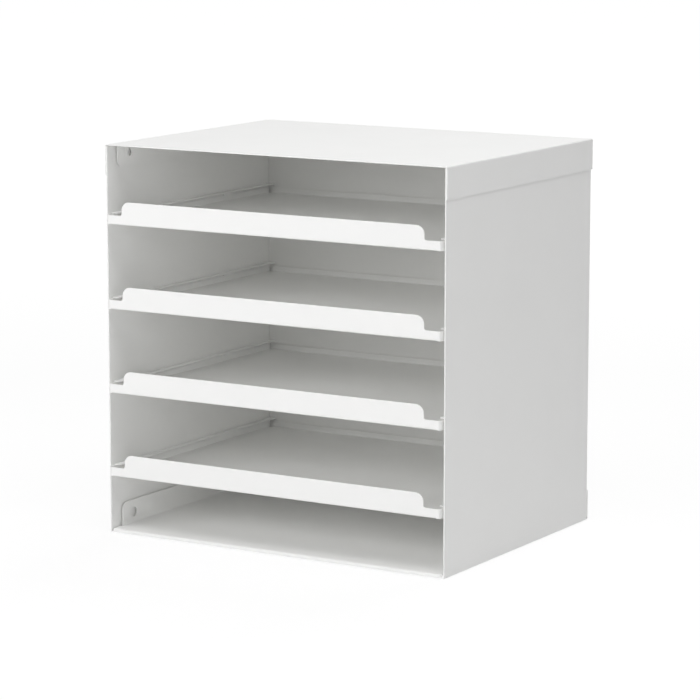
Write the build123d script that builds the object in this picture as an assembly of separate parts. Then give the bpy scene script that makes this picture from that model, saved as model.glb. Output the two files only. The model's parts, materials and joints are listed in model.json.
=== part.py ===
"""Steel desk organizer: an open-front letter cabinet with four pull-out trays in channel runners."""
import os

from build123d import *

# Overall form in millimetres: +X is right, +Y runs to the back, the desk is at Z = 0
body_width = 317.4        # over the outer faces of the side panels
body_depth = 245.0        # front edges to the rear faces of the side panels
body_height = 322.0       # lower edges of the side panels to the top face of the cover
tray_count = 4

# Sheet steel
panel_sheet = 1.2
cover_sheet = 0.8
base_sheet = 0.8
back_sheet = 0.8
bracket_sheet = 0.8
runner_sheet = 1.0
tray_sheet = 0.8

# Fits
sheet_fit = 0.1           # between sheets that overlap
edge_gap = 0.3            # between the cut edge of a sheet and its neighbour
hole_fit = 0.1            # round a rivet's shank
relief = 1.0              # slot at the end of a fold
overrun = 4.0             # how far each cut runs past the material

# Side panels: a wall with rounded front edges and a return folded in at the rear
return_width = 14.0
panel_bend = 0.5          # inside radius
edge_round_share = 0.4    # of the sheet

# Top cover: skirts at both sides and the rear
skirt_height = 25.4
cover_bend = 0.5

# Bottom panel: flanges turned up inside the side panels and outside the back, front edge turned down
floor_rise = 2.0          # underside of the floor over the lower edges of the side panels
flange_height = 19.3      # over the floor
flange_setback = 12.5     # from the front edges
flange_bend = 1.6
rear_flange_height = 25.0
base_bend = 1.0

# Top brackets: angles between the side panels and the cover
bracket_drop = 18.5
bracket_ledge = 16.0
bracket_setback = 11.5    # from the front edges
bracket_bend = 1.0

# Flanges and brackets: set off the side panels by welded spacers, with holes to hang by while coated
wall_gap = 1.5            # to the side panels
flange_rear_gap = 4.0     # to the back panel
flange_round = 6.5
hole_setback = 28.9       # from the front edges
base_hole = 8.0
base_hole_rise = 8.8      # over the floor
bracket_hole = 5.5
bracket_hole_drop = 7.9   # under the cover
spacer_setback = 60.0     # from the front edges
spacer_rear_inset = 30.0
spacer_length = 14.0
spacer_height = 8.0

# Rivets that hold the back panel, the rear flange and the rear skirt to the returns
rivet_shank = 3.0
rivet_head = 6.0
rivet_crown = 1.0

# Foot pads
foot_stand = 0.8          # how far they lift the side panels off the desk
foot_diameter = 14.0
foot_inset = 22.0         # from the outer faces to the middle of a pad

# Places of the trays
bottom_bay = 45.1         # floor to the lowest tray
top_bay = 45.0            # lip of the highest tray to the cover

# Trays: folded pans with a notched lip in front, whose low ends wrap round the corners as tabs
lip_stand = 3.3           # how far the lips stand in front of the side panels
lip_height = 18.9
lip_end_height = 7.5      # of the low ends, the tabs and the stop ears
notch_width = 14.6
lip_round = 7.0
notch_round = 2.0
corner_bend = 1.2
tab_length = 14.0
rim_height = 5.6
tray_bend = 0.6
tray_side_gap = 0.5       # to the web of a runner
tray_rear_gap = 1.0       # to the back panel
tray_travel = 150.0       # pull-out until the stop ears meet the stops of the runners
ear_length = 12.0

# Runners: channels that hold the side rims of the trays
runner_setback = 4.5      # from the front edges
runner_ledge = 7.0
runner_bend = 0.4
runner_round = 3.5
mouth_gap = 0.3           # tabs and ears of a tray to the upper ledge
stop_setback = 12.0       # from the front end of the runner
stop_drop = 1.7           # under the upper ledge
stop_gap = 0.3            # ear to the stop at full travel

# Places worked out from the sizes above
outer_x = body_width / 2
wall_x = outer_x - panel_sheet
flange_x = wall_x - wall_gap
rear_lap = sheet_fit + max(cover_sheet, base_sheet) + rivet_crown
tray_front_y = -(lip_stand + body_depth + rear_lap) / 2
front_y = tray_front_y + lip_stand
rear_y = front_y + body_depth
back_y = rear_y - panel_sheet - back_sheet
flange_front_y = front_y + flange_setback
bracket_front_y = front_y + bracket_setback
flange_rear_y = back_y - flange_rear_gap
floor_bottom = foot_stand + floor_rise
floor_top = floor_bottom + base_sheet
cover_top = foot_stand + body_height
cover_under = cover_top - cover_sheet
panel_top = cover_under - cover_bend
tray_x = wall_x - runner_sheet - tray_side_gap
tab_x = tray_x - tray_sheet - corner_bend - relief
tab_rear_y = tray_front_y + tab_length
tray_rear_y = back_y - tray_rear_gap
tray_fold = tray_sheet + tray_bend
rim_front_y = tray_front_y + tray_fold + relief
runner_mouth = lip_end_height + mouth_gap
runner_front_y = front_y + runner_setback
stop_y = runner_front_y + stop_setback
lowest_tray = floor_top + bottom_bay
highest_tray = cover_under - top_bay - lip_height
tray_pitch = (highest_tray - lowest_tray) / (tray_count - 1)
tray_levels = [highest_tray - tray_pitch * index for index in range(tray_count)]
rivet_x = outer_x - return_width / 2

# Heights of the rivets, with the thickness of what laps the returns there
rivet_laps = {
    foot_stand + rear_flange_height / 2: sheet_fit + base_sheet,
    cover_top - skirt_height / 2: sheet_fit + cover_sheet,
}


def slab(x0, x1, y0, y1, z0, z1):
    """Plain block between two corners."""
    middle = Pos((x0 + x1) / 2, (y0 + y1) / 2, (z0 + z1) / 2)
    return middle * Box(x1 - x0, y1 - y0, z1 - z0)


def folded(corners, bend, sheet):
    """Section of a folded sheet from its outer corners, with the sheet on the left of the path."""
    path = FilletPolyline(*corners, radius=bend + sheet)
    return make_face(offset(path, amount=sheet, side=Side.LEFT))


def along_y(section, y0, y1):
    """Extrude a section drawn in X and Z from y0 to y1."""
    return Pos(Y=y0) * extrude(Plane.XZ * section, amount=y1 - y0, dir=(0, 1, 0))


def across(section, x):
    """Extrude a section drawn in Y and Z to both sides of the middle."""
    return extrude(Plane.YZ * section, amount=x, both=True)


def rectangle(u0, u1, v0, v1):
    """Flat outline between two corners."""
    return make_face(Polyline((u0, v0), (u1, v0), (u1, v1), (u0, v1), close=True))


def both_sides(right):
    """A right-hand piece and its mirror image."""
    return [right, mirror(right, about=Plane.YZ)]


def group(pieces):
    """Identical separate pieces as one node."""
    return Compound([solid for piece in pieces for solid in piece.solids()])


def rivet(grip):
    """Rivet along +Z: a shank as long as its grip under a flat head with sloped flanks."""
    head_top = grip + rivet_crown
    outline = Polyline(
        (0, 0), (rivet_shank / 2, 0), (rivet_shank / 2, grip), (rivet_head / 2, grip),
        (rivet_head / 2 - rivet_crown, head_top), (0, head_top), close=True)
    return revolve(Plane.XZ * make_face(outline), Axis.Z)


def back_rivets():
    """Rivets from the outermost sheet to the back panel, with their ends flush in it."""
    pieces = []
    for z, lap in rivet_laps.items():
        grip = back_sheet + panel_sheet + lap
        pieces += both_sides(Pos(rivet_x, back_y, z) * Rot(X=-90) * rivet(grip))
    return group(pieces)


def rivet_holes():
    """Cutters for the rivets."""
    drill = Rot(X=90) * Cylinder(rivet_shank / 2 + hole_fit, rear_lap + overrun)
    return [piece for z in rivet_laps for piece in both_sides(Pos(rivet_x, rear_y, z) * drill)]


def hang_holes(diameter, z):
    """Cutter for a pair of hanging holes, right across the cabinet."""
    return Pos(Y=front_y + hole_setback, Z=z) * Rot(Y=90) * Cylinder(diameter / 2, body_width)


def flange_spacers():
    """Blocks that fill the gap to the side panels, at mid height of the flanges and the brackets."""
    spacer = Box(wall_gap, spacer_length, spacer_height)
    pieces = []
    for z in (floor_top + flange_height / 2, cover_under - bracket_drop / 2):
        for y in (front_y + spacer_setback, flange_rear_y - spacer_rear_inset):
            pieces += both_sides(Pos(wall_x - wall_gap / 2, y, z) * spacer)
    return group(pieces)


def side_panel():
    """Right side panel: a wall with a return at the rear, cut short so that the floor passes under it."""
    corners = [(outer_x, front_y), (outer_x, rear_y), (outer_x - return_width, rear_y)]
    section = folded(corners, panel_bend, panel_sheet)
    section = fillet(section.vertices().group_by(Axis.Y)[0], panel_sheet * edge_round_share)
    panel = Pos(Z=foot_stand) * extrude(section, amount=panel_top - foot_stand)
    fold_y = rear_y - panel_sheet - panel_bend
    floor_way = slab(0, wall_x, fold_y, rear_y + overrun, 0, floor_top + base_bend + edge_gap)
    return panel - floor_way - rivet_holes()


def back_panel():
    """Flat sheet in front of the returns, clear of their folds."""
    x = wall_x - panel_bend - sheet_fit
    sheet = slab(-x, x, back_y, back_y + back_sheet, floor_top + edge_gap, cover_under - edge_gap)
    return sheet - rivet_holes()


def lid_block(x, y0, y1, z0, z1, bend):
    """Block, twice x wide, with rounded edges at the top and at the rear corners."""
    block = slab(-x, x, y0, y1, z0, z1)
    top_edges = block.edges().group_by(Axis.Z)[-1].sort_by(Axis.Y)[1:]
    rear_corners = block.edges().filter_by(Axis.Z).group_by(Axis.Y)[-1]
    return fillet(top_edges + rear_corners, bend)


def top_cover():
    """Lid with skirts outside the side panels and the returns, open at the front."""
    x = outer_x + sheet_fit
    y = rear_y + sheet_fit
    hem_z = cover_top - skirt_height
    outside = lid_block(
        x + cover_sheet, front_y, y + cover_sheet, hem_z, cover_top, cover_bend + cover_sheet)
    inside = lid_block(x, front_y - overrun, y, hem_z - overrun, cover_under, cover_bend)
    return outside - inside - rivet_holes()


def top_bracket():
    """Right bracket: an angle under the cover, with rounded lower corners."""
    hem_z = cover_under - bracket_drop
    corners = [(flange_x, hem_z), (flange_x, cover_under), (flange_x - bracket_ledge, cover_under)]
    angle = along_y(folded(corners, bracket_bend, bracket_sheet), bracket_front_y, flange_rear_y)
    outline = rectangle(bracket_front_y, flange_rear_y, hem_z, cover_under)
    outline = fillet(outline.vertices().group_by(Axis.Y)[0], flange_round)
    return (angle & across(outline, outer_x)) - hang_holes(bracket_hole, cover_under - bracket_hole_drop)


def base_flanges():
    """Side flanges of the bottom panel, with rounded upper corners, and the floor between them."""
    hem_z = floor_top + flange_height
    channel = [(-flange_x, hem_z), (-flange_x, floor_bottom), (flange_x, floor_bottom), (flange_x, hem_z)]
    flanges = along_y(folded(channel, flange_bend, base_sheet), flange_front_y, flange_rear_y)
    outline = rectangle(flange_front_y, flange_rear_y, floor_bottom, hem_z)
    outline = fillet(outline.vertices().group_by(Axis.Y)[-1], flange_round)
    return (flanges & across(outline, outer_x)) - hang_holes(base_hole, floor_top + base_hole_rise)


def bottom_panel():
    """Floor with its side flanges, a turned-down front edge and a rear flange that laps the returns."""
    flat_x = flange_x - base_sheet - flange_bend
    rear_fold_y = flange_rear_y + relief
    front_fold_y = flange_front_y - relief
    floor = slab(-flat_x, flat_x, front_fold_y, rear_fold_y, floor_bottom, floor_top)
    front_corners = [(front_fold_y, floor_top), (front_y, floor_top), (front_y, foot_stand)]
    front_edge = across(folded(front_corners, base_bend, base_sheet), flange_x)

    lap_y = rear_y + sheet_fit + base_sheet
    lap_z = foot_stand + rear_flange_height
    rear_corners = [(rear_fold_y, floor_bottom), (lap_y, floor_bottom), (lap_y, lap_z)]
    rear_fold = across(folded(rear_corners, base_bend, base_sheet), flange_x)
    lap = slab(-outer_x, outer_x, lap_y - base_sheet, lap_y, floor_top + base_bend, lap_z)
    lap += both_sides(slab(flange_x + edge_gap, outer_x, lap_y - base_sheet, lap_y, foot_stand, lap_z))
    return base_flanges() + floor + front_edge + rear_fold + lap - rivet_holes()


def runner():
    """Right runner at level zero: a channel with a stop under its upper ledge."""
    ledge_x = wall_x - runner_ledge
    low_z = -runner_sheet
    high_z = runner_mouth + runner_sheet
    rear = back_y - edge_gap
    corners = [(ledge_x, low_z), (wall_x, low_z), (wall_x, high_z), (ledge_x, high_z)]
    channel = along_y(folded(corners, runner_bend, runner_sheet), runner_front_y, rear)
    stop_x = wall_x - runner_sheet
    stop_z = runner_mouth - stop_drop
    stop = slab(ledge_x, stop_x, stop_y, stop_y + runner_sheet, stop_z, high_z - runner_sheet / 2)
    plan = rectangle(ledge_x, wall_x, runner_front_y, rear)
    plan = fillet(plan.vertices().group_by(Axis.X)[0].sort_by(Axis.Y)[0], runner_round)
    bar = Pos(Z=low_z) * extrude(plan, amount=high_z - low_z)
    return (channel + stop) & bar


def rim_trim():
    """Cutter behind the tabs: it leaves low rims, with a stop ear at each side."""
    ear_y = stop_y + runner_sheet + tray_travel + stop_gap
    ear_end_y = ear_y + ear_length
    ear_rise = lip_end_height - rim_height
    rear = tray_rear_y + overrun
    above = lip_end_height + overrun
    outline = Polyline(
        (tab_rear_y, above), (tab_rear_y, rim_height), (ear_y, rim_height), (ear_y, lip_end_height),
        (ear_end_y - ear_rise, lip_end_height), (ear_end_y, rim_height), (rear, rim_height), (rear, above),
        close=True)
    return across(make_face(outline), body_width)


def lip_notch():
    """Right cutter that leaves the end of the lip low, in front of the runner."""
    x = tray_x - notch_width
    outline = rectangle(x, tray_x + overrun, lip_end_height, lip_height + overrun)
    outline = fillet(outline.vertices().group_by(Axis.X)[0].sort_by(Axis.Y)[0], notch_round)
    return along_y(outline, tray_front_y - overrun, rim_front_y)


def tray():
    """Tray at level zero: lip, floor and rear rim in one strip, side rims, and tabs round the corners."""
    strip = [(tray_front_y, lip_height), (tray_front_y, 0), (tray_rear_y, 0), (tray_rear_y, rim_height)]
    channel = [(-tray_x, lip_end_height), (-tray_x, 0), (tray_x, 0), (tray_x, lip_end_height)]
    tab = [(tab_x, tray_front_y), (tray_x, tray_front_y), (tray_x, tab_rear_y)]
    rim_rear_y = tray_rear_y - tray_fold - relief
    pan = across(folded(strip, tray_bend, tray_sheet), tab_x)
    pan += along_y(folded(channel, tray_bend, tray_sheet), rim_front_y, rim_rear_y)
    pan += both_sides(extrude(folded(tab, corner_bend, tray_sheet), amount=lip_end_height))
    pan = pan - rim_trim() - both_sides(lip_notch())
    return fillet(pan.edges().filter_by(Axis.Y).group_by(Axis.Z)[-1], lip_round)


def foot():
    """Round pad between the floor and the desk."""
    return Cylinder(foot_diameter / 2, floor_bottom, align=(Align.CENTER, Align.CENTER, Align.MIN))


def organizer():
    """Every piece of the organizer by its name."""
    pieces = {"back_panel": back_panel(), "bottom_panel": bottom_panel(), "top_cover": top_cover()}
    pieces["right_side_panel"], pieces["left_side_panel"] = both_sides(side_panel())
    pieces["top_right_bracket"], pieces["top_left_bracket"] = both_sides(top_bracket())
    pieces["flange_spacers"] = flange_spacers()
    pieces["back_rivets"] = back_rivets()

    one_tray = tray()
    right_runner, left_runner = both_sides(runner())
    for number, level in enumerate(tray_levels, start=1):
        pieces[f"tray_{number}"] = Pos(Z=level) * one_tray
        pieces[f"right_runner_{number}"] = Pos(Z=level) * right_runner
        pieces[f"left_runner_{number}"] = Pos(Z=level) * left_runner

    pad = foot()
    for end, y in (("front", front_y + foot_inset), ("rear", rear_y - foot_inset)):
        for side, x in (("left", foot_inset - outer_x), ("right", outer_x - foot_inset)):
            pieces[f"{end}_{side}_foot"] = Pos(x, y) * pad
    return pieces


os.makedirs("parts", exist_ok=True)
for name, piece in organizer().items():
    export_step(piece, f"parts/{name}.step")
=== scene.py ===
"""Looks of a white steel desk organizer: powder coats, a pale studio and the photograph's camera."""
import json
import math

import bmesh
import bpy
from mathutils import Matrix, Vector


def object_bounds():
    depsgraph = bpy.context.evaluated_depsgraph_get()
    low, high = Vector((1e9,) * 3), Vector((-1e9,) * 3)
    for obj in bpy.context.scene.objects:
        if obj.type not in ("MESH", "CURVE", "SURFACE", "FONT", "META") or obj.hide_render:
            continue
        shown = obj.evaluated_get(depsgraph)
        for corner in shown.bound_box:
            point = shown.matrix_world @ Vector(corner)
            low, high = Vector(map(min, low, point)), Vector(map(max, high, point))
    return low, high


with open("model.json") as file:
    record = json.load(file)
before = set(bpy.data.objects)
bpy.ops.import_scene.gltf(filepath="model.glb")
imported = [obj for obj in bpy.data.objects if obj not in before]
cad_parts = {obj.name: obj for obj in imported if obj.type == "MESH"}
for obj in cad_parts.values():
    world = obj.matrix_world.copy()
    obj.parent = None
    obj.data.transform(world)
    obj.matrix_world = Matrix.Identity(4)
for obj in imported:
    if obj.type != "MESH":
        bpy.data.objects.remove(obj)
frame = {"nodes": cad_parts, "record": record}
cad_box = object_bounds()

# Camera of the photograph, in metres, millimetres of lens and degrees
camera_place = Vector((1.32429, -2.19442, 0.58929))
camera_azimuth = 31.119
camera_elevation = 9.736
camera_lens = 161.46

# Sizes of the finishes' patterns, in metres
peel_size = 0.0016         # waves of the orange peel, coarse enough to show
peel_depth = 0.00001
cloud_size = 0.045         # patches where the coat came out thicker
grit_size = 0.0006         # grains of the rubber pads
grit_depth = 0.00004

# Studio in metres and watts: a floor, white surroundings and soft boxes that face the object
light_bounces = 12         # enough for light to reach the back of the bays
floor_reach = 30.0
floor_drop = 0.0002        # just under the foot pads, so that no two faces share one place
near_floor = 0.8           # from the middle
near_glow = 0.9            # how white the near floor looks by itself, before the light that falls on it
far_floor = 2.5
far_glow = 1.0
floor_share = 0.12         # of the fallen light that shows, so that the shadow stays faint
box_size = 1.2
lamps = {
    "left_key": {"place": (-1.86, -2.22, 0.94), "power": 25.0},
    "left_front": {"place": (-0.75, -2.8, 0.94), "power": 16.0},
    "right_front": {"place": (1.86, -2.22, 0.94), "power": 4.5},
    "right_low": {"place": (2.58, -1.49, 0.47), "power": 10.0},
    "front_high": {"place": (0.0, -1.5, 2.76), "power": 11.0},
    "right_corner": {"place": (1.06, -1.06, 2.76), "power": 20.0},
    "right_high": {"place": (1.5, 0.0, 2.76), "power": 17.0},
    "overhead": {"place": (0.0, 1.5, 2.76), "power": 30.5},
}


def paint(hex_code):
    """A hex colour in sRGB as linear red, green, blue and alpha."""
    levels = [int(hex_code[start:start + 2], 16) / 255 for start in (1, 3, 5)]
    linear = [level / 12.92 if level <= 0.04045 else ((level + 0.055) / 1.055) ** 2.4 for level in levels]
    return (*linear, 1.0)


def add_node(tree, kind, inputs=None, **settings):
    """Add a node with its settings, and its inputs by identifier: plain values or sockets to link."""
    node = tree.nodes.new(kind)
    for name, value in settings.items():
        setattr(node, name, value)
    sockets = {socket.identifier: socket for socket in node.inputs}
    for name, value in (inputs or {}).items():
        if isinstance(value, bpy.types.NodeSocket):
            tree.links.new(value, sockets[name])
        else:
            sockets[name].default_value = value
    return node


def new_tree(holder):
    """Empty node tree of a material or a world."""
    holder.use_nodes = True
    holder.node_tree.nodes.clear()
    return holder.node_tree


def powder_coat(name, thin, thick, smooth, rough):
    """Polyester powder baked on steel: a matt white film, a little cloudy, with a faint orange peel."""
    material = bpy.data.materials.new(name)
    tree = new_tree(material)
    place = add_node(tree, "ShaderNodeTexCoord").outputs["Object"]
    cloud = add_node(tree, "ShaderNodeTexNoise", {"Vector": place, "Scale": 1 / cloud_size, "Detail": 3.0})
    colour = add_node(tree, "ShaderNodeMix", {
        "Factor_Float": cloud.outputs["Fac"], "A_Color": paint(thin), "B_Color": paint(thick)},
        data_type="RGBA")
    peel = add_node(tree, "ShaderNodeTexNoise", {"Vector": place, "Scale": 1 / peel_size, "Detail": 1.0})
    gloss = add_node(tree, "ShaderNodeMapRange", {
        "Value": peel.outputs["Fac"], "To Min": smooth, "To Max": rough})
    bump = add_node(tree, "ShaderNodeBump", {"Height": peel.outputs["Fac"], "Distance": peel_depth})
    shader = add_node(tree, "ShaderNodeBsdfPrincipled", {
        "Base Color": colour.outputs["Result"], "Roughness": gloss.outputs["Result"],
        "Normal": bump.outputs["Normal"], "IOR": 1.5})
    add_node(tree, "ShaderNodeOutputMaterial", {"Surface": shader.outputs["BSDF"]})
    return material


def pad_rubber():
    """Moulded rubber: pale grey and matt, with a fine grit from its mould."""
    material = bpy.data.materials.new("moulded_rubber")
    tree = new_tree(material)
    place = add_node(tree, "ShaderNodeTexCoord").outputs["Object"]
    grit = add_node(tree, "ShaderNodeTexNoise", {"Vector": place, "Scale": 1 / grit_size, "Detail": 2.0})
    colour = add_node(tree, "ShaderNodeMix", {
        "Factor_Float": grit.outputs["Fac"], "A_Color": paint("#B9B9B6"), "B_Color": paint("#C9C9C6")},
        data_type="RGBA")
    bump = add_node(tree, "ShaderNodeBump", {"Height": grit.outputs["Fac"], "Distance": grit_depth})
    shader = add_node(tree, "ShaderNodeBsdfPrincipled", {
        "Base Color": colour.outputs["Result"], "Normal": bump.outputs["Normal"], "Roughness": 0.8})
    add_node(tree, "ShaderNodeOutputMaterial", {"Surface": shader.outputs["BSDF"]})
    return material


def dress(node, material):
    """Give a node of the model its finish."""
    slots = frame["nodes"][node].data.materials
    slots.clear()
    slots.append(material)


def dress_organizer():
    """Finish each node by the material slot that the record gives it."""
    # Colours where the film is thin and where it is thick, and the range of its roughness
    finishes = {
        "cabinet_coat": powder_coat("powder_coat_on_cabinet", "#F3F3F2", "#F6F6F5", smooth=0.71, rough=0.79),
        "tray_coat": powder_coat("powder_coat_on_trays", "#F4F4F3", "#F7F7F6", smooth=0.69, rough=0.77),
        "runner_coat": powder_coat("powder_coat_on_runners", "#F2F2F1", "#F5F5F4", smooth=0.73, rough=0.81),
        "rivet_coat": powder_coat("powder_coat_on_rivets", "#E8E8E7", "#ECECEB", smooth=0.65, rough=0.73),
        "foot_pad": pad_rubber(),
    }
    for subpart in frame["record"]["subparts"]:
        dress(subpart["node"], finishes[subpart["material_slot"]])


def background_rays(tree):
    """1 on rays that show the background: from the camera, or by way of gloss or glass."""
    rays = add_node(tree, "ShaderNodeLightPath").outputs
    direct = add_node(tree, "ShaderNodeMath", {
        "Value": rays["Is Camera Ray"], "Value_001": rays["Is Glossy Ray"]}, operation="MAXIMUM")
    return add_node(tree, "ShaderNodeMath", {
        "Value": direct.outputs["Value"], "Value_001": rays["Is Transmission Ray"]},
        operation="MAXIMUM").outputs["Value"]


def pale_floor():
    """White paper floor: it bounces light as paper does, looks white and keeps a faint shadow."""
    mesh = bpy.data.meshes.new("floor")
    shape = bmesh.new()
    level = Matrix.Translation((0, 0, -floor_drop))
    bmesh.ops.create_grid(shape, x_segments=1, y_segments=1, size=floor_reach, matrix=level)
    shape.to_mesh(mesh)
    shape.free()
    floor = bpy.data.objects.new("floor", mesh)
    bpy.context.scene.collection.objects.link(floor)

    material = bpy.data.materials.new("paper_floor")
    tree = new_tree(material)
    paper = add_node(tree, "ShaderNodeBsdfDiffuse", {"Color": paint("#F5F5F5")})
    shadow = add_node(tree, "ShaderNodeBsdfDiffuse", {
        "Color": (floor_share, floor_share, floor_share, 1.0)})
    place = add_node(tree, "ShaderNodeTexCoord").outputs["Object"]
    distance = add_node(tree, "ShaderNodeVectorMath", {"Vector": place}, operation="LENGTH")
    strength = add_node(tree, "ShaderNodeMapRange", {
        "Value": distance.outputs["Value"], "From Min": near_floor, "From Max": far_floor,
        "To Min": near_glow, "To Max": far_glow})
    glow = add_node(tree, "ShaderNodeEmission", {"Strength": strength.outputs["Result"]})
    white = add_node(tree, "ShaderNodeAddShader", {
        "Shader": shadow.outputs["BSDF"], "Shader_001": glow.outputs["Emission"]})
    surface = add_node(tree, "ShaderNodeMixShader", {
        "Fac": background_rays(tree), "Shader": paper.outputs["BSDF"],
        "Shader_001": white.outputs["Shader"]})
    add_node(tree, "ShaderNodeOutputMaterial", {"Surface": surface.outputs["Shader"]})
    mesh.materials.append(material)


def studio_world():
    """White surroundings behind the object and in its gloss, which leave the lighting to the lamps."""
    world = bpy.data.worlds.new("studio")
    tree = new_tree(world)
    white = add_node(tree, "ShaderNodeBackground", {
        "Color": paint("#FFFFFF"), "Strength": background_rays(tree)})
    add_node(tree, "ShaderNodeOutputWorld", {"Surface": white.outputs["Background"]})
    bpy.context.scene.world = world


def soft_box(name, place, power):
    """Square lamp that faces the middle of the object."""
    data = bpy.data.lights.new(name, "AREA")
    data.size = box_size
    data.energy = power
    lamp = bpy.data.objects.new(name, data)
    lamp.location = place
    middle = (cad_box[0] + cad_box[1]) / 2
    lamp.rotation_euler = (middle - lamp.location).to_track_quat("-Z", "Y").to_euler()
    bpy.context.scene.collection.objects.link(lamp)


def photo_camera():
    """Camera at the photograph's place and angle."""
    data = bpy.data.cameras.new("photo_camera")
    data.lens = camera_lens
    camera = bpy.data.objects.new("photo_camera", data)
    azimuth, elevation = math.radians(camera_azimuth), math.radians(camera_elevation)
    ahead = Vector((
        -math.sin(azimuth) * math.cos(elevation),
        math.cos(azimuth) * math.cos(elevation),
        -math.sin(elevation)))
    camera.location = camera_place
    camera.rotation_euler = ahead.to_track_quat("-Z", "Y").to_euler()
    bpy.context.scene.collection.objects.link(camera)
    bpy.context.scene.camera = camera


dress_organizer()
pale_floor()
studio_world()
for lamp_name, lamp in lamps.items():
    soft_box(lamp_name, **lamp)
photo_camera()
bpy.context.scene.view_settings.view_transform = "Standard"
bpy.context.scene.cycles.diffuse_bounces = light_bounces
